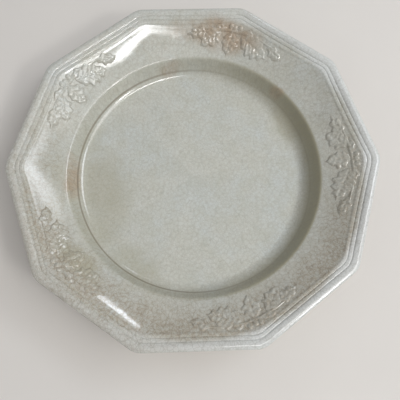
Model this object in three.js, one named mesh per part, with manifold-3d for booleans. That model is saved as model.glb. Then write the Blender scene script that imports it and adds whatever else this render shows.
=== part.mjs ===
// Ten-sided china dinner plate: a pressed body with a round well and a decagonal rim, a foot ring
// luted under the well, and five leaf sprays sprigged on the rim, one at every other corner.
// Millimetres, +Z up, origin on the table under the centre. A sprayed corner lies on +X.
import * as THREE from "three";
import { mergeVertices } from "three/addons/utils/BufferGeometryUtils.js";
import Module from "manifold-3d";

// Outline
const SIDES = 10;
const APOTHEM = 125; // centre to the middle of a side
const CORNER_RADIUS = 14; // how far each corner is eased
const SEGMENTS = 8 * SIDES; // steps of a turn, a whole number of them to a side

// Heights above the table
const RIM_TOP = 38;
const FOOT_HEIGHT = 2.5;
const FLOOR_THICKNESS = 4;
const FLOOR_TOP = FOOT_HEIGHT + FLOOR_THICKNESS;
const SHOULDER_TOP = RIM_TOP - 16.5; // where the rim turns down into the well

// Radii of the round parts
const SHOULDER_RADIUS = 93.5;
const WELL_RADIUS = 87.5; // foot of the well's wall
const WALL = 4.5; // thickness of the well's wall and of the rim

// The reeded band just inside the edge, measured as apothems
const BAND_START = APOTHEM - 11.5;
const BAND_DROP = 4.5; // how far the band's inner side lies under the rim's top
const CREST_RADIUS = APOTHEM - 2.4; // where the rim is highest
const LIFT_END = CREST_RADIUS - 1; // the crest is level, so the corners' lift runs out before it
const CORNER_LIFT = 0.6; // share of an even cone's rise that the rim follows into a corner
const BEAD_WIDTH = 2.7;
const BEAD_RISE = 0.35; // how far a bead stands off the band
const GROOVE_DROP = 0.1;

const FOOT_INNER = 77;
const FOOT_OUTER = 82.5;
const FOOT_EASE = 1.4; // how far each side of the foot slopes in to the face it stands on

// Leaf sprays
const SPRAYS = 5;
const RELIEF = 1.1; // how far a spray stands off the rim
const RELIEF_GAP = 0.2; // room between a spray and the faceted rim under it, whose facets aren't quite flat
const STEM_WIDTH = 2;
const BERRY_RADIUS = 2.3;

const CHINA = new THREE.MeshStandardMaterial({ color: 0xc3bfb3, roughness: 0.16, metalness: 0 });
const RELIEF_CHINA = new THREE.MeshStandardMaterial({ color: 0xb7ae9e, roughness: 0.18, metalness: 0 });
const FOOT_CHINA = new THREE.MeshStandardMaterial({ color: 0xcfc6b2, roughness: 0.55, metalness: 0 });

const wasm = await Module();
wasm.setup();

// Distance from the centre to a rounded decagon of apothem 1, in the direction of an angle.
function outlineFactor(angle) {
  const half = Math.PI / SIDES;
  const fromCorner = Math.abs(angle - 2 * half * Math.round(angle / (2 * half)));
  const radius = CORNER_RADIUS / APOTHEM;
  const arcCentre = (1 - radius) / Math.cos(half);
  const straight = 1 / Math.cos(half - fromCorner);
  const tangent = Math.atan2(radius * Math.sin(half), arcCentre + radius * Math.cos(half));
  if (fromCorner > tangent) return straight; // past the end of the corner's arc
  const across = arcCentre * Math.sin(fromCorner);
  return arcCentre * Math.cos(fromCorner) + Math.sqrt(radius ** 2 - across ** 2);
}

// How far a point of the rim moves outwards as the round shoulder changes smoothly to the ten-sided
// band, as a factor of its radius.
function widening(radius, angle) {
  const sided = THREE.MathUtils.smoothstep(radius, SHOULDER_RADIUS, BAND_START);
  return 1 + sided * (outlineFactor(angle) - 1);
}

// How much higher the rim stands where it widens into a corner, which keeps its slope more even.
function cornerLift(radius, angle) {
  const onRim = Math.min(radius, BAND_START);
  const widened = onRim * widening(onRim, angle);
  const fade = THREE.MathUtils.clamp((LIFT_END - radius) / (LIFT_END - BAND_START), 0, 1);
  return CORNER_LIFT * fade * (rimHeight(widened) - rimHeight(onRim));
}

// Turns a profile of [radius, height] round Z. Inside the shoulder it stays round; from there out it
// widens and lifts into ten corners, where a radius is the apothem.
function turned(profile) {
  const points = profile.map(([radius, height]) => new THREE.Vector2(radius, height));
  const geometry = new THREE.LatheGeometry(points, SEGMENTS);
  geometry.rotateX(Math.PI / 2);
  const position = geometry.attributes.position;
  for (let i = 0; i < position.count; i++) {
    const x = position.getX(i);
    const y = position.getY(i);
    const radius = Math.hypot(x, y);
    const angle = Math.atan2(y, x);
    const grow = widening(radius, angle);
    position.setXYZ(i, x * grow, y * grow, position.getZ(i) + cornerLift(radius, angle));
  }
  return geometry;
}

// A closed geometry as a manifold-3d solid.
function solid(geometry) {
  const bare = geometry.clone();
  bare.deleteAttribute("normal");
  bare.deleteAttribute("uv");
  const merged = mergeVertices(bare, 1e-3);
  const made = new wasm.Manifold(
    new wasm.Mesh({
      numProp: 3,
      vertProperties: merged.attributes.position.array,
      triVerts: new Uint32Array(merged.index.array),
    }),
  );
  return made;
}

// A manifold-3d solid as a geometry.
function geometryOf(made) {
  const mesh = made.getMesh();
  const geometry = new THREE.BufferGeometry();
  geometry.setAttribute("position", new THREE.BufferAttribute(new Float32Array(mesh.vertProperties), 3));
  geometry.setIndex(new THREE.BufferAttribute(new Uint32Array(mesh.triVerts), 1));
  geometry.computeVertexNormals();
  return geometry;
}

// Height of the rim's upper face between the shoulder and the band: it rises in a shallow hollow.
function rimHeight(radius) {
  const out = (radius - SHOULDER_RADIUS) / (BAND_START - SHOULDER_RADIUS);
  const bandFoot = RIM_TOP - BAND_DROP;
  return SHOULDER_TOP + (bandFoot - SHOULDER_TOP) * (0.82 * out + 0.18 * out ** 2);
}

// Radii at which the rim's faces have a row of vertices.
const RIM_ROWS = [0.12, 0.3, 0.5, 0.7, 0.88].map(
  (part) => SHOULDER_RADIUS + part * (BAND_START - SHOULDER_RADIUS),
);

// The body's upper face from the centre to the edge.
function upperFace() {
  return [
    [0, FLOOR_TOP],
    [WELL_RADIUS - 7, FLOOR_TOP],
    [WELL_RADIUS - 2.5, FLOOR_TOP + 0.4],
    [WELL_RADIUS, FLOOR_TOP + 1.4],
    [SHOULDER_RADIUS - 2.9, SHOULDER_TOP - 3.6],
    [SHOULDER_RADIUS - 1.6, SHOULDER_TOP - 0.9],
    [SHOULDER_RADIUS + 0.6, SHOULDER_TOP + 0.05],
    ...RIM_ROWS.map((radius) => [radius, rimHeight(radius)]),
    ...reeding(),
  ];
}

// A point of the reeded band: it rises straight to the crest, and a bead or groove departs from it.
function onBand(fromStart, departure) {
  const rise = (BAND_DROP * fromStart) / (CREST_RADIUS - BAND_START);
  return [BAND_START + fromStart, RIM_TOP - BAND_DROP + rise + departure];
}

// Two fine beads with grooves beside them, then the wider edge band that crowns the rim.
function reeding() {
  return [
    onBand(0, 0),
    onBand(0.5 * BEAD_WIDTH, BEAD_RISE),
    onBand(BEAD_WIDTH, -GROOVE_DROP),
    onBand(1.5 * BEAD_WIDTH, BEAD_RISE),
    onBand(2 * BEAD_WIDTH, -GROOVE_DROP),
    onBand(2 * BEAD_WIDTH + 1.2, BEAD_RISE),
    [CREST_RADIUS, RIM_TOP],
    [APOTHEM - 0.7, RIM_TOP - 0.6],
    [APOTHEM, RIM_TOP - 1.9],
  ];
}

// The body's lower face from the edge back to the centre, one wall's thickness under the upper one.
function lowerFace() {
  return [
    [APOTHEM - 0.5, RIM_TOP - 3.4],
    [CREST_RADIUS, RIM_TOP - 4.4],
    ...RIM_ROWS.toReversed().map((radius) => [radius + 0.9, rimHeight(radius) - WALL]),
    [SHOULDER_RADIUS + 1.9, SHOULDER_TOP - WALL - 1.6],
    [WELL_RADIUS + WALL + 0.5, FLOOR_TOP + 3],
    [WELL_RADIUS + WALL - 1.2, FOOT_HEIGHT + 2.6],
    [WELL_RADIUS + 0.6, FOOT_HEIGHT + 0.5],
    [WELL_RADIUS - 2, FOOT_HEIGHT],
    [FOOT_OUTER, FOOT_HEIGHT],
    [FOOT_INNER, FOOT_HEIGHT],
    [0, FOOT_HEIGHT],
  ];
}

// The profiles run from the top of the axis outwards, so they are turned round to face out.
function plateBody() {
  return turned([...upperFace(), ...lowerFace()].toReversed());
}

function footRing() {
  const standing = [FOOT_OUTER - FOOT_EASE, FOOT_INNER + FOOT_EASE];
  const section = [
    [FOOT_INNER, FOOT_HEIGHT],
    [FOOT_OUTER, FOOT_HEIGHT],
    [standing[0], 0],
    [standing[1], 0],
    [FOOT_INNER, FOOT_HEIGHT],
  ];
  return turned(section.toReversed());
}

// The layer that the sprays are cut from. It lies on the rim, facet for facet.
function reliefLayer() {
  const rows = [SHOULDER_RADIUS + 0.6, ...RIM_ROWS, BAND_START];
  const raised = (radius, lift) => [radius, rimHeight(radius) + lift];
  const under = rows.map((radius) => raised(radius, RELIEF_GAP));
  const over = rows.toReversed().map((radius) => raised(radius, RELIEF_GAP + RELIEF));
  return solid(turned([...under, ...over, under[0]]));
}

// Each leaf of the spray on the +X corner: its base and tip as [x, y], its width and the number of
// lobes on each of its sides.
const LEAVES = [
  { base: [111, -4.5], tip: [99, -28.5], width: 17, lobes: 5 },
  { base: [107.5, -26], tip: [99, -40], width: 9, lobes: 3 },
  { base: [112.5, 2], tip: [95.8, 3.5], width: 15, lobes: 4 },
  { base: [110.5, 11], tip: [97.5, 25.5], width: 14, lobes: 4 },
  { base: [108, 19.5], tip: [101.5, 37], width: 10, lobes: 3 },
  { base: [113.6, -3.5], tip: [112.6, -17], width: 6.5, lobes: 2 },
  { base: [113.6, 5], tip: [112, 19], width: 6.5, lobes: 2 },
];
const BERRIES = [[114.8, 1.2], [115.2, -2.8], [115.2, 4.4]];
const STEM = [[105.5, -34], [110.2, -20], [112.8, -5], [112.6, 5], [110, 19], [105.5, 33]];
const LOBE_DEPTH = 0.22; // share of a leaf's half width that the notches between its lobes take
const LEAF_STEPS = 3; // points to a lobe

// A leaf's outline in its own frame: the base at the origin and the tip on +X.
function leafShape(length, width, lobes) {
  const side = [];
  const count = lobes * LEAF_STEPS;
  for (let i = 1; i < count; i++) {
    const along = i / count;
    const body = Math.sin(Math.PI * along ** 0.8);
    const notch = 1 - LOBE_DEPTH * (1 - Math.cos(2 * Math.PI * lobes * along));
    side.push([length * along, (width / 2) * body * notch]);
  }
  const shape = new THREE.Shape();
  shape.moveTo(0, 0);
  side.forEach(([x, y]) => shape.lineTo(x, -y));
  shape.lineTo(length, 0);
  side.toReversed().forEach(([x, y]) => shape.lineTo(x, y));
  return shape;
}

// A tall upright prism of a flat shape, which cuts right through the relief layer.
function prism(shape) {
  const settings = { depth: RIM_TOP, bevelEnabled: false, curveSegments: 5 };
  return new THREE.ExtrudeGeometry(shape, settings).translate(0, 0, SHOULDER_TOP - RELIEF);
}

function leafPrism({ base, tip, width, lobes }) {
  const run = [tip[0] - base[0], tip[1] - base[1]];
  const geometry = prism(leafShape(Math.hypot(...run), width, lobes));
  geometry.rotateZ(Math.atan2(run[1], run[0]));
  return solid(geometry.translate(base[0], base[1], 0));
}

function berryPrism([x, y]) {
  return solid(prism(new THREE.Shape().absarc(x, y, BERRY_RADIUS, 0, 2 * Math.PI)));
}

function stemPrism() {
  const outer = STEM.map(([x, y]) => new THREE.Vector2(x + STEM_WIDTH / 2, y));
  const inner = STEM.map(([x, y]) => new THREE.Vector2(x - STEM_WIDTH / 2, y));
  return solid(prism(new THREE.Shape([...outer, ...inner.toReversed()])));
}

// The spray on the +X corner, cut from the relief layer.
function spray() {
  const cutters = [...LEAVES.map(leafPrism), ...BERRIES.map(berryPrism)];
  const outline = cutters.reduce((joined, cutter) => joined.add(cutter), stemPrism());
  return geometryOf(reliefLayer().intersect(outline));
}

function piece(name, geometry, material) {
  const mesh = new THREE.Mesh(geometry, material);
  mesh.name = name;
  return mesh;
}

const plate = new THREE.Group();
plate.add(piece("plate_body", plateBody(), CHINA));
plate.add(piece("foot_ring", footRing(), FOOT_CHINA));

// The other sprays are turned copies; a turn between two of them is a whole number of segments, so
// each lies on the rim's facets as the first one does.
const sprayGeometry = spray();
for (let i = 0; i < SPRAYS; i++) {
  const mesh = piece(`leaf_spray_${i + 1}`, sprayGeometry, RELIEF_CHINA);
  mesh.rotation.z = (2 * Math.PI * i) / SPRAYS;
  plate.add(mesh);
}

export default plate;
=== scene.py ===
"""A ten-sided china dinner plate with relief leaf sprays, under a stained and crazed glaze.

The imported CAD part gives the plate's width and height and the place of its foot. The plate's body,
its foot ring and its five sprays are rebuilt here as fine closed meshes. Lengths are in metres, and
MM turns millimetres into metres. A sprayed corner lies on +X and the plate stands on z = 0.
"""

import math

import bpy
import numpy as np
from mathutils import Matrix, Vector


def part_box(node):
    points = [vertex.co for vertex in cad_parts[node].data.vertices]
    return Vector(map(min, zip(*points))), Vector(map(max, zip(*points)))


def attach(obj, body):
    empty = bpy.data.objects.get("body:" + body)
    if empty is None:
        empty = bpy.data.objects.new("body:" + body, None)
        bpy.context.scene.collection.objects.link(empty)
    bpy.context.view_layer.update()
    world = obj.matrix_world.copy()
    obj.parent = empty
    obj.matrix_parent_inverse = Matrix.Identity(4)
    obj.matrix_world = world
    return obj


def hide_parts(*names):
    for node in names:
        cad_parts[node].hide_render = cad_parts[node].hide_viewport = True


MM = 0.001

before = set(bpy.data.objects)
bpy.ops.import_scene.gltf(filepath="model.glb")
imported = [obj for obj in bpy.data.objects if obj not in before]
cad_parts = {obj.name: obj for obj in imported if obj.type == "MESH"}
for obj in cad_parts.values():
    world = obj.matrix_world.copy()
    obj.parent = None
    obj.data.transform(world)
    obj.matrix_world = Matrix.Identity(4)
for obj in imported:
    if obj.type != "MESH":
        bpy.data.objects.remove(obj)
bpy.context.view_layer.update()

# --------------------------------------------------------------------------------------------------
# Sizes that come from the CAD part
# --------------------------------------------------------------------------------------------------

body_low, body_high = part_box("plate_body")
foot_low, foot_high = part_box("foot_ring")
APOTHEM = body_high.y
RIM_TOP = body_high.z
FOOT_HEIGHT = body_low.z
FOOT_OUTER = foot_high.x

# --------------------------------------------------------------------------------------------------
# Shape of the plate
# --------------------------------------------------------------------------------------------------

SIDES = 10
CORNER_RADIUS = 14 * MM
TURN_STEPS = 48 * SIDES
SMOOTH_ROUNDS = 2

FLOOR_TOP = FOOT_HEIGHT + 4 * MM
SHOULDER_TOP = RIM_TOP - 16.5 * MM
SHOULDER_RADIUS = 93.5 * MM
WELL_RADIUS = 87.5 * MM
WALL = 4.5 * MM
BAND_START = APOTHEM - 11.5 * MM
BAND_DROP = 4.5 * MM
CREST_RADIUS = APOTHEM - 2.4 * MM
BEAD_WIDTH = 2.7 * MM
CORNER_LIFT = 0.6  # share of an even cone's rise that the rim follows as it widens into a corner
LIFT_END = CREST_RADIUS - 1 * MM  # the crest itself is level all the way round
EDGE_DROP = 1.9 * MM  # how far the widest part of the edge lies under the crest
FOOT_INNER = FOOT_OUTER - 5.5 * MM
FOOT_EASE = 1.4 * MM


def outline_factor(angle):
    """Distance from the centre to a rounded decagon of apothem 1, in the direction of each angle."""
    half = math.pi / SIDES
    from_corner = np.abs(angle - 2 * half * np.round(angle / (2 * half)))
    radius = CORNER_RADIUS / APOTHEM
    arc_centre = (1 - radius) / math.cos(half)
    tangent = math.atan2(radius * math.sin(half), arc_centre + radius * math.cos(half))
    straight = 1 / np.cos(half - from_corner)
    across = arc_centre * np.sin(np.minimum(from_corner, tangent))
    arc = arc_centre * np.cos(from_corner) + np.sqrt(radius**2 - across**2)
    return np.where(from_corner > tangent, straight, arc)


def smoothstep(value, low, high):
    part = np.clip((value - low) / (high - low), 0, 1)
    return part * part * (3 - 2 * part)


def placed(radius, angle):
    """x and y of a point of the plate: round inside the shoulder and ten-sided from the band on."""
    sided = smoothstep(radius, SHOULDER_RADIUS, BAND_START)
    reach = radius * (1 + sided * (outline_factor(angle) - 1))
    return reach * np.cos(angle), reach * np.sin(angle)


def rim_height(radius):
    """Height of the rim's upper face between the shoulder and the band: a shallow hollow."""
    out = (radius - SHOULDER_RADIUS) / (BAND_START - SHOULDER_RADIUS)
    band_foot = RIM_TOP - BAND_DROP
    return SHOULDER_TOP + (band_foot - SHOULDER_TOP) * (0.82 * out + 0.18 * out**2)


def corner_lift(radius, angle):
    """How much higher the rim stands where it widens into a corner, which keeps its slope more even."""
    on_rim = np.minimum(radius, BAND_START)
    widened = on_rim * (1 + smoothstep(on_rim, SHOULDER_RADIUS, BAND_START) * (outline_factor(angle) - 1))
    fade = np.clip((LIFT_END - radius) / (LIFT_END - BAND_START), 0, 1)
    return CORNER_LIFT * fade * (rim_height(widened) - rim_height(on_rim))


def smoothed(points, rounds=SMOOTH_ROUNDS):
    """Cuts the corners of an open line again and again, which leaves a smooth curve."""
    line = np.array(points, float)
    for _ in range(rounds):
        near = 0.75 * line[:-1] + 0.25 * line[1:]
        far = 0.25 * line[:-1] + 0.75 * line[1:]
        middle = np.stack([near, far], 1).reshape(-1, 2)
        line = np.vstack([line[:1], middle, line[-1:]])
    return line


def rim_rows():
    return np.linspace(SHOULDER_RADIUS + 2.4 * MM, BAND_START - 1.6 * MM, 9)


def on_band(from_start, departure):
    """A point of the reeded band, in millimetres from its inner side and off its even rise."""
    rise = BAND_DROP * from_start * MM / (CREST_RADIUS - BAND_START)
    return [BAND_START + from_start * MM, RIM_TOP - BAND_DROP + rise + departure * MM]


def upper_profile():
    """The body's upper face from the centre to the edge, as [radius, height]."""
    well = [
        [0, FLOOR_TOP],
        [30 * MM, FLOOR_TOP],
        [60 * MM, FLOOR_TOP],
        [WELL_RADIUS - 9 * MM, FLOOR_TOP],
        [WELL_RADIUS - 6 * MM, FLOOR_TOP + 0.3 * MM],
        [WELL_RADIUS - 3.6 * MM, FLOOR_TOP + 1.2 * MM],
        [WELL_RADIUS - 1.6 * MM, FLOOR_TOP + 2.35 * MM],
        [WELL_RADIUS - 0.1 * MM, FLOOR_TOP + 3.7 * MM],
        [WELL_RADIUS + 1.4 * MM, FLOOR_TOP + 6.4 * MM],
        [WELL_RADIUS + 2.6 * MM, FLOOR_TOP + 9.4 * MM],
        [SHOULDER_RADIUS - 2.3 * MM, SHOULDER_TOP - 2.9 * MM],
        [SHOULDER_RADIUS - 1.5 * MM, SHOULDER_TOP - 1.15 * MM],
        [SHOULDER_RADIUS - 0.7 * MM, SHOULDER_TOP - 0.4 * MM],
        [SHOULDER_RADIUS + 0.4 * MM, SHOULDER_TOP + 0.17 * MM],
    ]
    rim = [[radius, rim_height(radius)] for radius in rim_rows()]
    beads = [on_band(-0.2, -0.15)]
    for start in (0, BEAD_WIDTH / MM):
        beads.append(on_band(start + 0.4, 0.25))
        beads.append(on_band(start + 0.9, 0.38))
        beads.append(on_band(start + 1.9, 0.3))
        beads.append(on_band(start + 2.4, 0.15))
        beads.append(on_band(start + 2.7, -0.25))
    beads.append(on_band(2 * BEAD_WIDTH / MM + 0.7, 0.45))
    edge = [
        [CREST_RADIUS - 0.9 * MM, RIM_TOP],
        [CREST_RADIUS - 0.1 * MM, RIM_TOP],
        [CREST_RADIUS + 1.5 * MM, RIM_TOP - 0.42 * MM],
        [APOTHEM - 0.15 * MM, RIM_TOP - 0.9 * MM],
        [APOTHEM, RIM_TOP - EDGE_DROP],
    ]
    return smoothed(well + rim + beads + edge)


def lower_profile():
    """The body's lower face from the edge back to the centre."""
    edge = [
        [APOTHEM, RIM_TOP - EDGE_DROP],
        [APOTHEM - 0.4 * MM, RIM_TOP - 3.6 * MM],
        [CREST_RADIUS, RIM_TOP - 4.4 * MM],
    ]
    rim = [[radius + 0.9 * MM, rim_height(radius) - WALL] for radius in rim_rows()[::-2]]
    well = [
        [SHOULDER_RADIUS + 1.9 * MM, SHOULDER_TOP - WALL - 1.6 * MM],
        [WELL_RADIUS + WALL + 0.5 * MM, FLOOR_TOP + 3 * MM],
        [WELL_RADIUS + WALL - 1.2 * MM, FOOT_HEIGHT + 2.6 * MM],
        [WELL_RADIUS + 0.6 * MM, FOOT_HEIGHT + 0.5 * MM],
        [WELL_RADIUS - 2 * MM, FOOT_HEIGHT],
        [FOOT_OUTER, FOOT_HEIGHT],
        [FOOT_INNER, FOOT_HEIGHT],
        [40 * MM, FOOT_HEIGHT],
        [0, FOOT_HEIGHT],
    ]
    return smoothed(edge + rim + well)


# --------------------------------------------------------------------------------------------------
# Meshes
# --------------------------------------------------------------------------------------------------


def make_piece(name, vertices, faces, replaced, material, hollows=None):
    """A smooth closed mesh that rides on the plate and stands for a CAD node."""
    mesh = bpy.data.meshes.new(name)
    mesh.from_pydata(vertices, [], faces)
    if hollows is not None:
        mesh.attributes.new("hollow", "FLOAT", "POINT").data.foreach_set("value", hollows)
    mesh.validate()
    mesh.shade_smooth()
    mesh.materials.append(material)
    piece = bpy.data.objects.new(name, mesh)
    bpy.context.scene.collection.objects.link(piece)
    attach(piece, "root")
    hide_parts(replaced)
    return piece


def ring_faces(rows, steps, closed):
    """Quads between neighbouring rows of a turned shape; a closed one joins its last row to its first."""
    faces = []
    for row in range(rows if closed else rows - 1):
        below = row * steps
        above = ((row + 1) % rows) * steps
        for step in range(steps):
            beside = (step + 1) % steps
            faces.append((below + step, below + beside, above + beside, above + step))
    return faces


def turn_rows(profile):
    """The vertices of every row of a turned profile that isn't on the axis."""
    angle = np.arange(TURN_STEPS) * 2 * math.pi / TURN_STEPS
    rows = []
    for radius, height in profile:
        x, y = placed(radius, angle)
        rows.append(np.stack([x, y, height + corner_lift(radius, angle)], 1))
    return np.vstack(rows)


def make_body(material):
    """The pressed body: the lower face from the axis out to the edge, then the upper face back."""
    outer = np.vstack([lower_profile()[::-1], upper_profile()[::-1][1:]])
    inner_rows = outer[1:-1]
    vertices = turn_rows(inner_rows)
    faces = ring_faces(len(inner_rows), TURN_STEPS, closed=False)
    bottom = len(vertices)
    top = bottom + 1
    vertices = np.vstack([vertices, [0, 0, outer[0][1]], [0, 0, outer[-1][1]]])
    last = (len(inner_rows) - 1) * TURN_STEPS
    for step in range(TURN_STEPS):
        beside = (step + 1) % TURN_STEPS
        faces.append((bottom, beside, step))
        faces.append((top, last + step, last + beside))
    return make_piece("china_body", vertices.tolist(), faces, "plate_body", material)


def make_foot(material):
    """The foot ring: a low bank with an eased standing face, let a little into the body."""
    let_in = 0.4 * MM
    flat = 1.2 * MM
    section = [
        [FOOT_OUTER, FOOT_HEIGHT + let_in],
        [FOOT_OUTER - 0.3 * MM, FOOT_HEIGHT - 0.5 * MM],
        [FOOT_OUTER - FOOT_EASE, 0.5 * MM],
        [FOOT_OUTER - FOOT_EASE - 0.4 * MM, 0],
        [(FOOT_OUTER + FOOT_INNER + flat) / 2, 0],
        [(FOOT_OUTER + FOOT_INNER - flat) / 2, 0],
        [FOOT_INNER + FOOT_EASE + 0.4 * MM, 0],
        [FOOT_INNER + FOOT_EASE, 0.5 * MM],
        [FOOT_INNER + 0.3 * MM, FOOT_HEIGHT - 0.5 * MM],
        [FOOT_INNER, FOOT_HEIGHT + let_in],
    ]
    rows = smoothed(section)[::-1]
    vertices = turn_rows(rows)
    faces = ring_faces(len(rows), TURN_STEPS, closed=True)
    return make_piece("china_foot", vertices.tolist(), faces, "foot_ring", material)


# --------------------------------------------------------------------------------------------------
# Leaf sprays
# --------------------------------------------------------------------------------------------------

# Each leaf of the spray on the +X corner, in millimetres: base and tip as (x, y), width, the number of
# lobes on each side, and the ribs that run out from its midrib.
LEAVES = [
    {"base": (111, -4.5), "tip": (99, -28.5), "width": 17, "lobes": 5, "ribs": 8},
    {"base": (107.5, -26), "tip": (99, -40), "width": 9, "lobes": 3, "ribs": 5},
    {"base": (112.5, 2), "tip": (95.8, 3.5), "width": 15, "lobes": 4, "ribs": 5},
    {"base": (110.5, 11), "tip": (97.5, 25.5), "width": 14, "lobes": 4, "ribs": 6},
    {"base": (108, 19.5), "tip": (101.5, 37), "width": 10, "lobes": 3, "ribs": 5},
    {"base": (113.6, -3.5), "tip": (112.6, -17), "width": 6.5, "lobes": 2, "ribs": 3},
    {"base": (113.6, 5), "tip": (112, 19), "width": 6.5, "lobes": 2, "ribs": 3},
]
BERRIES = [(114.8, 1.2), (115.2, -2.8), (115.2, 4.4)]
STEM = [(105.5, -34), (110.2, -20), (112.8, -5), (112.6, 5), (110, 19), (105.5, 33)]

RELIEF = 1.15 * MM
SUNK = 0.12 * MM
SPRAY_DEPTH = 0.9 * MM
SPRAY_HALF_ANGLE = math.radians(24)
SPRAY_RADIUS = 105 * MM  # where the cells of a spray's grid are square
SPRAY_STEP = 0.36 * MM
LEAF_FLANK = 2.0  # millimetres over which a leaf rises from its outline
LEAF_END = 1.6  # and from its base and its tip
MIDRIB_WIDTH = 0.7


def wander(x, y):
    """A slow drift of up to half a millimetre, as in a leaf pressed from a worn mould."""
    return 0.5 * np.sin(0.9 * x + 0.5 * y) * np.sin(0.8 * y - 0.4 * x + 1)


def leaf_relief(x, y, leaf):
    """Height of a leaf over the rim, as a share of the full relief, at points in millimetres."""
    x, y = x + wander(x, y), y + wander(y, x)
    base, tip = Vector(leaf["base"]), Vector(leaf["tip"])
    length = (tip - base).length
    along_axis = (tip - base) / length
    u = ((x - base.x) * along_axis.x + (y - base.y) * along_axis.y) / length
    v = -(x - base.x) * along_axis.y + (y - base.y) * along_axis.x
    inside = np.clip(u, 0.001, 0.999)
    body = np.sin(math.pi * inside**0.8)
    lobe = 1 - 0.12 * (1 - np.cos(2 * math.pi * leaf["lobes"] * inside))
    half_width = leaf["width"] / 2 * body * lobe
    edge = (half_width - np.abs(v)) / LEAF_FLANK
    ends = np.minimum(u, 1 - u) * length / LEAF_END
    rise = smoothstep(np.minimum(edge, ends), 0, 1)
    swell = 0.6 + 0.4 * np.clip(1 - (v / (leaf["width"] / 2)) ** 2, 0, 1)
    slant = u - 0.45 * np.abs(v) / leaf["width"]
    ribs = 0.12 * np.cos(2 * math.pi * leaf["ribs"] * slant)
    midrib = -0.3 * np.exp(-((v / MIDRIB_WIDTH) ** 2))
    return rise * (swell + ribs + midrib)


def stem_relief(x, y):
    """The branch that carries the leaves, round in section and tapering to both ends."""
    nearest = np.full_like(x, np.inf)
    for start, end in zip(STEM, STEM[1:]):
        run = np.subtract(end, start)
        part = np.clip(((x - start[0]) * run[0] + (y - start[1]) * run[1]) / (run @ run), 0, 1)
        gap = np.hypot(x - start[0] - part * run[0], y - start[1] - part * run[1])
        nearest = np.minimum(nearest, gap)
    radius = 1.0 * (1 - 0.45 * np.abs(y) / 31)
    return 0.85 * np.sqrt(np.clip(1 - (nearest / radius) ** 2, 0, 1))


def berry_relief(x, y, centre, radius=2.0):
    gap = np.hypot(x - centre[0], y - centre[1])
    return 1.1 * np.sqrt(np.clip(1 - (gap / radius) ** 2, 0, 1))


def spray_relief(x, y):
    heights = [leaf_relief(x, y, leaf) for leaf in LEAVES]
    heights += [berry_relief(x, y, berry) for berry in BERRIES]
    heights.append(stem_relief(x, y))
    return np.maximum.reduce(heights)


def kept_cells(height):
    """The grid cells under or beside the relief, so that a spray ends just outside its leaves."""
    raised = height > 0
    cell = raised[:-1, :-1] | raised[1:, :-1] | raised[:-1, 1:] | raised[1:, 1:]
    wide = cell.copy()
    wide[1:, :] |= cell[:-1, :]
    wide[:-1, :] |= cell[1:, :]
    wide[:, 1:] |= cell[:, :-1]
    wide[:, :-1] |= cell[:, 1:]
    return wide


def spray_grid():
    """The relief as a closed slab: its top follows the leaves and its underside lies inside the rim."""
    radii = np.arange(SHOULDER_RADIUS + 1.2 * MM, BAND_START, SPRAY_STEP)
    angles = np.arange(-SPRAY_HALF_ANGLE, SPRAY_HALF_ANGLE, SPRAY_STEP / SPRAY_RADIUS)
    radius, angle = np.meshgrid(radii, angles, indexing="ij")
    x, y = placed(radius, angle)
    height = spray_relief(x / MM, y / MM)
    ground = rim_height(radius) + corner_lift(radius, angle)
    top = np.stack([x, y, ground - SUNK + RELIEF * height], -1)
    under = np.stack([x, y, ground - SPRAY_DEPTH], -1)
    hollow = 1 - smoothstep(height, 0.15, 0.8)
    return top, under, kept_cells(height), hollow


def slab_faces(cells, columns, count):
    """Faces of the slab's top, its underside and its walls round the kept cells."""
    faces = []
    kept = np.argwhere(cells)
    rows_of_cells, columns_of_cells = cells.shape

    def is_kept(row, column):
        if not (0 <= row < rows_of_cells and 0 <= column < columns_of_cells):
            return False
        return cells[row, column]

    for row, column in kept:
        a = row * columns + column
        b = a + columns
        faces.append((a, b, b + 1, a + 1))
        faces.append((a + count, a + 1 + count, b + 1 + count, b + count))
        walls = [
            (row - 1, column, a + 1, a),
            (row + 1, column, b, b + 1),
            (row, column - 1, a, b),
            (row, column + 1, b + 1, a + 1),
        ]
        for beside_row, beside_column, start, end in walls:
            if not is_kept(beside_row, beside_column):
                faces.append((end, start, start + count, end + count))
    return faces


def compact(vertices, faces, values):
    """Drops the vertices that no face uses, and their values."""
    used = np.unique(np.concatenate([np.array(face) for face in faces]))
    renumbered = np.full(len(vertices), -1)
    renumbered[used] = np.arange(len(used))
    kept_faces = [tuple(int(renumbered[v]) for v in face) for face in faces]
    return vertices[used], kept_faces, values[used]


def make_sprays(material):
    top, under, cells, hollow = spray_grid()
    columns = top.shape[1]
    count = top.shape[0] * columns
    vertices = np.vstack([top.reshape(-1, 3), under.reshape(-1, 3)])
    hollows = np.concatenate([hollow.ravel(), hollow.ravel()])
    vertices, faces, hollows = compact(vertices, slab_faces(cells, columns, count), hollows)
    nodes = sorted(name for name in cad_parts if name.startswith("leaf_spray_"))
    for index, node in enumerate(nodes):
        turn = Matrix.Rotation(2 * math.pi * index / len(nodes), 3, "Z")
        turned = vertices @ np.array(turn).T
        name = f"relief_{node}"
        make_piece(name, turned.tolist(), faces, node, material, hollows)


# --------------------------------------------------------------------------------------------------
# Glaze
# --------------------------------------------------------------------------------------------------


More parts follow.
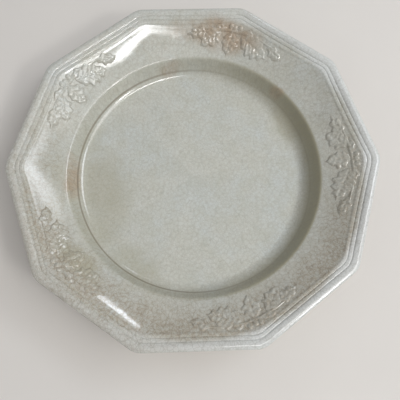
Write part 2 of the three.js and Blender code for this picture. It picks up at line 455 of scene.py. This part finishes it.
class Nodes:
    """Builds a material's node tree, with one method for each kind of node it needs."""

    def __init__(self, name):
        self.material = bpy.data.materials.new(name)
        self.material.use_nodes = True
        self.tree = self.material.node_tree
        self.tree.nodes.clear()

    def add(self, kind, **settings):
        node = self.tree.nodes.new(kind)
        for key, value in settings.items():
            setattr(node, key, value)
        return node

    def put(self, value, socket):
        if isinstance(value, bpy.types.NodeSocket):
            self.tree.links.new(value, socket)
        else:
            socket.default_value = value

    def math(self, operation, first, second=0.0, clamp=False):
        node = self.add("ShaderNodeMath", operation=operation, use_clamp=clamp)
        self.put(first, node.inputs[0])
        self.put(second, node.inputs[1])
        return node.outputs[0]

    def ramp(self, value, low, high, to_low=0.0, to_high=1.0):
        """A soft step from to_low, where value is low, to to_high, where it is high."""
        node = self.add("ShaderNodeMapRange", interpolation_type="SMOOTHSTEP")
        for socket, given in zip(node.inputs, (value, low, high, to_low, to_high)):
            self.put(given, socket)
        return node.outputs[0]

    def mix(self, factor, first, second, blend="MIX"):
        node = self.add("ShaderNodeMix", data_type="RGBA", blend_type=blend)
        self.put(factor, node.inputs["Factor"])
        for name, given in (("A", first), ("B", second)):
            socket = next(s for s in node.inputs if s.name == name and s.type == "RGBA")
            self.put(given, socket)
        return next(s for s in node.outputs if s.type == "RGBA")

    def noise(self, vector, scale, detail=2.0, roughness=0.5):
        node = self.add("ShaderNodeTexNoise")
        self.put(vector, node.inputs["Vector"])
        node.inputs["Scale"].default_value = scale
        node.inputs["Detail"].default_value = detail
        node.inputs["Roughness"].default_value = roughness
        return node

    def warped(self, vector, scale, amount):
        """The vector pushed about by noise, which bends straight edges."""
        shift = self.noise(vector, scale).outputs["Color"]
        centred = self.add("ShaderNodeVectorMath", operation="SUBTRACT")
        self.put(shift, centred.inputs[0])
        centred.inputs[1].default_value = (0.5, 0.5, 0.5)
        scaled = self.add("ShaderNodeVectorMath", operation="MULTIPLY_ADD")
        self.put(centred.outputs[0], scaled.inputs[0])
        scaled.inputs[1].default_value = (amount, amount, amount)
        self.put(vector, scaled.inputs[2])
        return scaled.outputs[0]

    def cracks(self, vector, cell, width):
        """1 along the cracks of a net with cells of that size, and 0 inside the cells."""
        node = self.add("ShaderNodeTexVoronoi", feature="DISTANCE_TO_EDGE")
        self.put(vector, node.inputs["Vector"])
        node.inputs["Scale"].default_value = 1 / cell
        return self.ramp(node.outputs["Distance"], 0.3 * width / cell, width / cell, 1.0, 0.0)

    def distance(self, vector, centre):
        node = self.add("ShaderNodeVectorMath", operation="DISTANCE")
        self.put(vector, node.inputs[0])
        node.inputs[1].default_value = centre
        return node.outputs["Value"]


def colour(red, green, blue):
    """A colour given as on a screen, from 0 to 255, as Blender's linear one."""

    def linear(value):
        part = value / 255
        return part / 12.92 if part <= 0.04045 else ((part + 0.055) / 1.055) ** 2.4

    return (linear(red), linear(green), linear(blue), 1.0)


CLEAN_GLAZE = colour(202, 202, 193)
COOL_GLAZE = colour(199, 203, 199)
DULL_GLAZE = colour(186, 186, 173)
PALE_GLAZE = colour(212, 213, 210)
STAINED_GLAZE = colour(172, 163, 147)
# Olive-brown of the wall stain and the olive stains; on the right side of the wall it is also painted
# shade.
WALL_STAIN_AND_SHADE = colour(158, 152, 126)
TAN_STAIN = colour(170, 147, 122)
CREASE_STAIN = colour(104, 88, 66)
CRACK_BROWN = colour(122, 108, 88)
CRACK_GREY = colour(150, 148, 136)
BISCUIT_PALE = colour(196, 180, 150)
BISCUIT_DARK = colour(150, 128, 98)
HOLLOW_STAIN = 0.22  # how much brown gathers in the hollows of the relief
GREY_CRACKS = 0.32  # how strongly the cracks show in clean glaze
BROWN_CRACKS = 0.4  # and how much browner they are where the glaze is stained
RIPPLE_HEIGHT = 0.38 * MM
PEEL_HEIGHT = 0.03 * MM
GLAZE_IOR = 1.52

# Where a stain lies: degrees from +X, radius, its reach along and across the rim in millimetres, and
# its strength.
TAN_PATCHES = [
    (76, 109, 30, 11, 0.9),
    (90, 110, 18, 8, 0.55),
    (181, 90, 18, 5, 0.7),
    (44, 91, 7, 4, 0.7),
    (101, 89, 9, 4, 0.5),
]
OLIVE_PATCHES = [
    (188, 70, 34, 24, 0.4),
    (206, 78, 28, 18, 0.35),
    (160, 84, 24, 9, 0.3),
    (28, 82, 18, 9, 0.45),
    (236, 82, 30, 14, 0.35),
    (187, 97, 38, 9, 0.25),
    (219, 103, 24, 9, 0.5),
]


def patch_mask(nodes, vector, patches):
    """The strongest of several soft oval patches, each lying along the rim."""
    total = None
    for degrees, radius, along, across, strength in patches:
        mapping = nodes.add("ShaderNodeMapping", vector_type="TEXTURE")
        nodes.put(vector, mapping.inputs["Vector"])
        turn = math.radians(degrees)
        spot = (radius * MM * math.cos(turn), radius * MM * math.sin(turn), 0)
        mapping.inputs["Location"].default_value = spot
        mapping.inputs["Rotation"].default_value = (0, 0, turn)
        mapping.inputs["Scale"].default_value = (across * MM, along * MM, 1)
        gap = nodes.distance(mapping.outputs[0], (0, 0, 0))
        mask = nodes.ramp(gap, 1.25, 0.35, 0.0, strength)
        total = mask if total is None else nodes.math("MAXIMUM", total, mask)
    return total


def flat_vector(nodes, vector):
    """The vector with its height left out."""
    node = nodes.add("ShaderNodeVectorMath", operation="MULTIPLY")
    nodes.put(vector, node.inputs[0])
    node.inputs[1].default_value = (1, 1, 0)
    return node.outputs[0]


def toward(nodes, vector, degrees):
    """How far a point lies in a direction, in metres."""
    node = nodes.add("ShaderNodeVectorMath", operation="DOT_PRODUCT")
    nodes.put(vector, node.inputs[0])
    turn = math.radians(degrees)
    node.inputs[1].default_value = (math.cos(turn), math.sin(turn), 0)
    return node.outputs["Value"]


def crazing(nodes, flat):
    """A net of hairline cracks, with a finer net in it that comes and goes."""
    bent = nodes.warped(flat, 300, 1.6 * MM)
    coarse = nodes.cracks(bent, cell=3.0 * MM, width=0.2 * MM)
    fine = nodes.cracks(bent, cell=1.5 * MM, width=0.15 * MM)
    comes_and_goes = nodes.ramp(nodes.noise(flat, 60, 3).outputs["Fac"], 0.32, 0.62, 0.15, 0.8)
    return nodes.math("MAXIMUM", coarse, nodes.math("MULTIPLY", fine, comes_and_goes))


def glaze_colour(nodes, position):
    """The glaze's colour: clean and cool on the floor, stained brown on the wall and the rim, with painted
    shade on the right side of the wall.
    """
    flat = flat_vector(nodes, position)
    wavy = nodes.warped(flat, 45, 12 * MM)
    radius = nodes.distance(flat, (0, 0, 0))
    wavy_radius = nodes.distance(wavy, (0, 0, 0))

    cloud = nodes.noise(flat, 22, 4, 0.6).outputs["Fac"]
    mottle = nodes.noise(flat, 75, 5, 0.68).outputs["Fac"]
    grain = nodes.noise(flat, 420, 3, 0.6).outputs["Fac"]
    base = nodes.mix(nodes.ramp(cloud, 0.38, 0.66), CLEAN_GLAZE, COOL_GLAZE)
    base = nodes.mix(nodes.ramp(mottle, 0.35, 0.68, 0.1, 0.6), base, DULL_GLAZE)
    base = nodes.mix(nodes.ramp(grain, 0.4, 0.68, 0.0, 0.3), base, STAINED_GLAZE)

    on_rim = nodes.ramp(wavy_radius, 84 * MM, 113 * MM)
    right = nodes.ramp(toward(nodes, wavy, -95), -0.08, 0.08, 0.16, 0.76)
    rim_stain = nodes.math("MULTIPLY", on_rim, right)
    rim_stain = nodes.math("MULTIPLY", rim_stain, nodes.ramp(mottle, 0.3, 0.65, 0.75, 1.05))
    rim_stain = nodes.math("MULTIPLY", rim_stain, nodes.ramp(grain, 0.3, 0.7, 0.55, 1.4))
    stained = nodes.mix(rim_stain, base, STAINED_GLAZE)

    up_wall = nodes.ramp(radius, 79 * MM, 91 * MM)
    on_wall = nodes.math("MULTIPLY", up_wall, nodes.ramp(radius, 94.5 * MM, 92.5 * MM))
    # Partly painted shade: a real stain on the wall, made much stronger on its right side, which faces away
    # from the lights.
    wall = nodes.math("MULTIPLY", on_wall, nodes.ramp(toward(nodes, wavy, -8), -0.04, 0.09, 0.15, 0.9))
    stained = nodes.mix(wall, stained, WALL_STAIN_AND_SHADE)
    stained = nodes.mix(patch_mask(nodes, wavy, OLIVE_PATCHES), stained, WALL_STAIN_AND_SHADE)
    patches = patch_mask(nodes, wavy, TAN_PATCHES)
    tan = nodes.math("MULTIPLY", patches, nodes.ramp(mottle, 0.3, 0.62, 0.35, 1.0))
    stained = nodes.mix(tan, stained, TAN_STAIN)

    from_crease = nodes.math("ABSOLUTE", nodes.math("SUBTRACT", radius, WELL_RADIUS + 0.1 * MM))
    in_crease = nodes.ramp(from_crease, 0.7 * MM, 0.2 * MM)
    crease = nodes.math("MULTIPLY", in_crease, nodes.ramp(toward(nodes, wavy, 188), -0.05, 0.05, 0.1, 0.55))
    stained = nodes.mix(crease, stained, CREASE_STAIN)

    # Paler glaze on the band near the edge, more so towards the right; it also keeps the rim's dirt and
    # brown cracks off there.
    near_edge = nodes.ramp(radius, 116.5 * MM, 121 * MM)
    pale = nodes.math("MULTIPLY", near_edge, nodes.ramp(toward(nodes, wavy, -20), -0.05, 0.09, 0.25, 0.85))
    stained = nodes.mix(pale, stained, PALE_GLAZE)

    cracks = crazing(nodes, flat)
    dirt = nodes.math("MAXIMUM", rim_stain, tan)
    dirt = nodes.math("MULTIPLY", dirt, nodes.math("SUBTRACT", 1.0, pale))
    crazed = nodes.mix(nodes.math("MULTIPLY", cracks, GREY_CRACKS), stained, CRACK_GREY)
    brown_lines = nodes.math("MULTIPLY", cracks, dirt)
    return nodes.mix(nodes.math("MULTIPLY", brown_lines, BROWN_CRACKS), crazed, CRACK_BROWN), dirt


def glaze_relief(nodes, position):
    """A fired glaze is never flat: it ripples gently, with the fine unevenness of orange peel."""
    ripple = nodes.noise(position, 38, 2, 0.45).outputs["Fac"]
    orange_peel = nodes.noise(position, 420, 2, 0.5).outputs["Fac"]
    ripple_height = nodes.math("MULTIPLY", ripple, RIPPLE_HEIGHT)
    peel_height = nodes.math("MULTIPLY", orange_peel, PEEL_HEIGHT)
    height = nodes.math("ADD", ripple_height, peel_height)
    bump = nodes.add("ShaderNodeBump")
    bump.inputs["Strength"].default_value = 0.5
    bump.inputs["Distance"].default_value = 1.0
    nodes.put(height, bump.inputs["Height"])
    return bump.outputs["Normal"]


def make_glaze(name, roughness=0.045):
    """The body's crazed and stained glaze."""
    nodes = Nodes(name)
    position = nodes.add("ShaderNodeTexCoord").outputs["Object"]
    surface = nodes.add("ShaderNodeBsdfPrincipled")
    tint, dirt = glaze_colour(nodes, position)
    hollow = nodes.add("ShaderNodeAttribute", attribute_name="hollow").outputs["Fac"]
    tint = nodes.mix(nodes.math("MULTIPLY", hollow, HOLLOW_STAIN), tint, CRACK_BROWN)
    nodes.put(tint, surface.inputs["Base Color"])
    nodes.put(nodes.ramp(dirt, 0, 1, roughness, roughness + 0.05), surface.inputs["Roughness"])
    surface.inputs["IOR"].default_value = GLAZE_IOR
    nodes.put(glaze_relief(nodes, position), surface.inputs["Normal"])
    output = nodes.add("ShaderNodeOutputMaterial")
    nodes.put(surface.outputs[0], output.inputs["Surface"])
    return nodes.material


def make_foot_glaze():
    """The foot: the same glaze, rubbed matt and buff where it stands."""
    nodes = Nodes("foot glaze")
    position = nodes.add("ShaderNodeTexCoord").outputs["Object"]
    surface = nodes.add("ShaderNodeBsdfPrincipled")
    tint, _ = glaze_colour(nodes, position)
    split = nodes.add("ShaderNodeSeparateXYZ")
    nodes.put(position, split.inputs[0])
    speckle = nodes.noise(position, 260, 4, 0.65).outputs["Fac"]
    edge = nodes.math("ADD", split.outputs["Z"], nodes.math("MULTIPLY", speckle, -0.8 * MM))
    worn = nodes.ramp(edge, 0.35 * MM, -0.25 * MM)
    biscuit = nodes.mix(speckle, BISCUIT_PALE, BISCUIT_DARK)
    nodes.put(nodes.mix(worn, tint, biscuit), surface.inputs["Base Color"])
    nodes.put(nodes.ramp(worn, 0, 1, 0.12, 0.75), surface.inputs["Roughness"])
    surface.inputs["IOR"].default_value = GLAZE_IOR
    nodes.put(glaze_relief(nodes, position), surface.inputs["Normal"])
    output = nodes.add("ShaderNodeOutputMaterial")
    nodes.put(surface.outputs[0], output.inputs["Surface"])
    return nodes.material


# --------------------------------------------------------------------------------------------------
# Camera, light and table
# --------------------------------------------------------------------------------------------------

CAMERA_TURN = math.radians(-4.75)
CAMERA_ELEVATION = math.radians(75.3)
CAMERA_ROLL = math.radians(3.18)
CAMERA_DISTANCE = 0.3012
CAMERA_ASIDE = (0.0039, -0.02616)
LENS = 38.8
SENSOR = 36.0
LIGHT_DISTANCE = 1.6
LIGHT_CORE = 0.18  # where a light starts to fade, from its middle, as a share of its width
LIGHT_EDGE = 0.5
LIGHT_GAIN = 1.8  # makes up for the power that the fading takes away
SKY = (0.86, 0.92, 1.0)
ROOM = (0.96, 0.97, 1.0, 1)
ROOM_STRENGTH = 0.37
TABLE_REACH = 30.0  # so far that its edge makes a level horizon


def make_camera():
    """A hand-held camera nearly over the plate; it looks past the plate's centre and is tilted a little."""
    back = Vector((
        math.sin(CAMERA_TURN) * math.cos(CAMERA_ELEVATION),
        -math.cos(CAMERA_TURN) * math.cos(CAMERA_ELEVATION),
        math.sin(CAMERA_ELEVATION),
    ))
    level = Vector((0, 0, 1)).cross(back).normalized()
    upward = back.cross(level)
    right = math.cos(CAMERA_ROLL) * level + math.sin(CAMERA_ROLL) * upward
    up = -math.sin(CAMERA_ROLL) * level + math.cos(CAMERA_ROLL) * upward
    place = right * CAMERA_ASIDE[0] + up * CAMERA_ASIDE[1] + back * CAMERA_DISTANCE
    place += Vector((0, 0, RIM_TOP - EDGE_DROP))
    data = bpy.data.cameras.new("camera")
    data.lens = LENS
    data.sensor_width = SENSOR
    data.clip_start = 0.01
    camera = bpy.data.objects.new("camera", data)
    turn = Matrix((right, up, back)).transposed().to_4x4()
    camera.matrix_world = Matrix.Translation(place) @ turn
    bpy.context.scene.collection.objects.link(camera)
    bpy.context.scene.camera = camera


def soften_edges(data):
    """Lets a rectangular light fade out towards its edges, as a lit wall or a curtained window does."""
    data.use_nodes = True
    nodes = data.node_tree.nodes
    links = data.node_tree.links
    place = nodes.new("ShaderNodeNewGeometry")
    gap = nodes.new("ShaderNodeVectorMath")
    gap.operation = "DISTANCE"
    gap.inputs[1].default_value = (0.5, 0.5, 0)
    fade = nodes.new("ShaderNodeMapRange")
    fade.interpolation_type = "SMOOTHSTEP"
    for socket, value in zip(fade.inputs, (0.0, LIGHT_EDGE, LIGHT_CORE, 0.0, LIGHT_GAIN)):
        socket.default_value = value
    links.new(place.outputs["Parametric"], gap.inputs[0])
    links.new(gap.outputs["Value"], fade.inputs[0])
    links.new(fade.outputs[0], nodes["Emission"].inputs["Strength"])


def make_light(name, azimuth, elevation, size, power, tint=(1, 1, 1), roll=0):
    """A rectangular light, aimed at the plate from that direction; roll turns it in its own plane."""
    data = bpy.data.lights.new(name, "AREA")
    data.shape = "RECTANGLE"
    data.size, data.size_y = size
    data.energy = power
    data.color = tint
    soften_edges(data)
    light = bpy.data.objects.new(name, data)
    across = math.cos(math.radians(elevation))
    direction = Vector((
        across * math.cos(math.radians(azimuth)),
        across * math.sin(math.radians(azimuth)),
        math.sin(math.radians(elevation)),
    ))
    light.location = direction * LIGHT_DISTANCE + Vector((0, 0, RIM_TOP))
    turn = direction.to_track_quat("Z", "Y").to_matrix() @ Matrix.Rotation(math.radians(roll), 3, "Z")
    light.rotation_euler = turn.to_euler()
    bpy.context.scene.collection.objects.link(light)


def make_lights():
    """Broad light and windows from the right, lamps whose reflections draw the glints, and a pale room."""
    make_light("broad light", azimuth=-14, elevation=50, size=(1.1, 0.9), power=7.5)
    make_light("window", azimuth=23, elevation=43, size=(1.25, 0.45), power=8, tint=SKY)
    make_light("far window", azimuth=70, elevation=28.5, size=(0.42, 0.05), power=0.9, tint=SKY)
    make_light("lamp", azimuth=-52, elevation=63.5, size=(1.0, 0.18), power=6.5, roll=-12)
    make_light("ceiling light", azimuth=-86, elevation=69, size=(1.0, 0.8), power=0.8)
    make_light("side lamp", azimuth=-36, elevation=43, size=(0.5, 0.3), power=7)
    world = bpy.data.worlds.new("room")
    world.use_nodes = True
    background = world.node_tree.nodes["Background"]
    background.inputs["Color"].default_value = ROOM
    background.inputs["Strength"].default_value = ROOM_STRENGTH
    bpy.context.scene.world = world


def make_table():
    """A plain pale table under the plate."""
    reach = TABLE_REACH
    mesh = bpy.data.meshes.new("table")
    corners = [(-reach, -reach, 0), (reach, -reach, 0), (reach, reach, 0), (-reach, reach, 0)]
    mesh.from_pydata(corners, [], [(0, 1, 2, 3)])
    nodes = Nodes("table top")
    position = nodes.add("ShaderNodeTexCoord").outputs["Object"]
    surface = nodes.add("ShaderNodeBsdfPrincipled")
    cloud = nodes.noise(position, 9, 3).outputs["Fac"]
    tint = nodes.mix(cloud, colour(222, 217, 210), colour(214, 209, 203))
    nodes.put(tint, surface.inputs["Base Color"])
    surface.inputs["Roughness"].default_value = 0.85
    output = nodes.add("ShaderNodeOutputMaterial")
    nodes.put(surface.outputs[0], output.inputs["Surface"])
    mesh.materials.append(nodes.material)
    table = bpy.data.objects.new("table", mesh)
    bpy.context.scene.collection.objects.link(table)


# --------------------------------------------------------------------------------------------------
# Scene
# --------------------------------------------------------------------------------------------------

make_camera()
make_lights()
make_table()
bpy.context.scene.view_settings.view_transform = "Standard"

glaze = make_glaze("crazed glaze")
make_body(glaze)
make_foot(make_foot_glaze())
make_sprays(make_glaze("relief glaze", roughness=0.06))
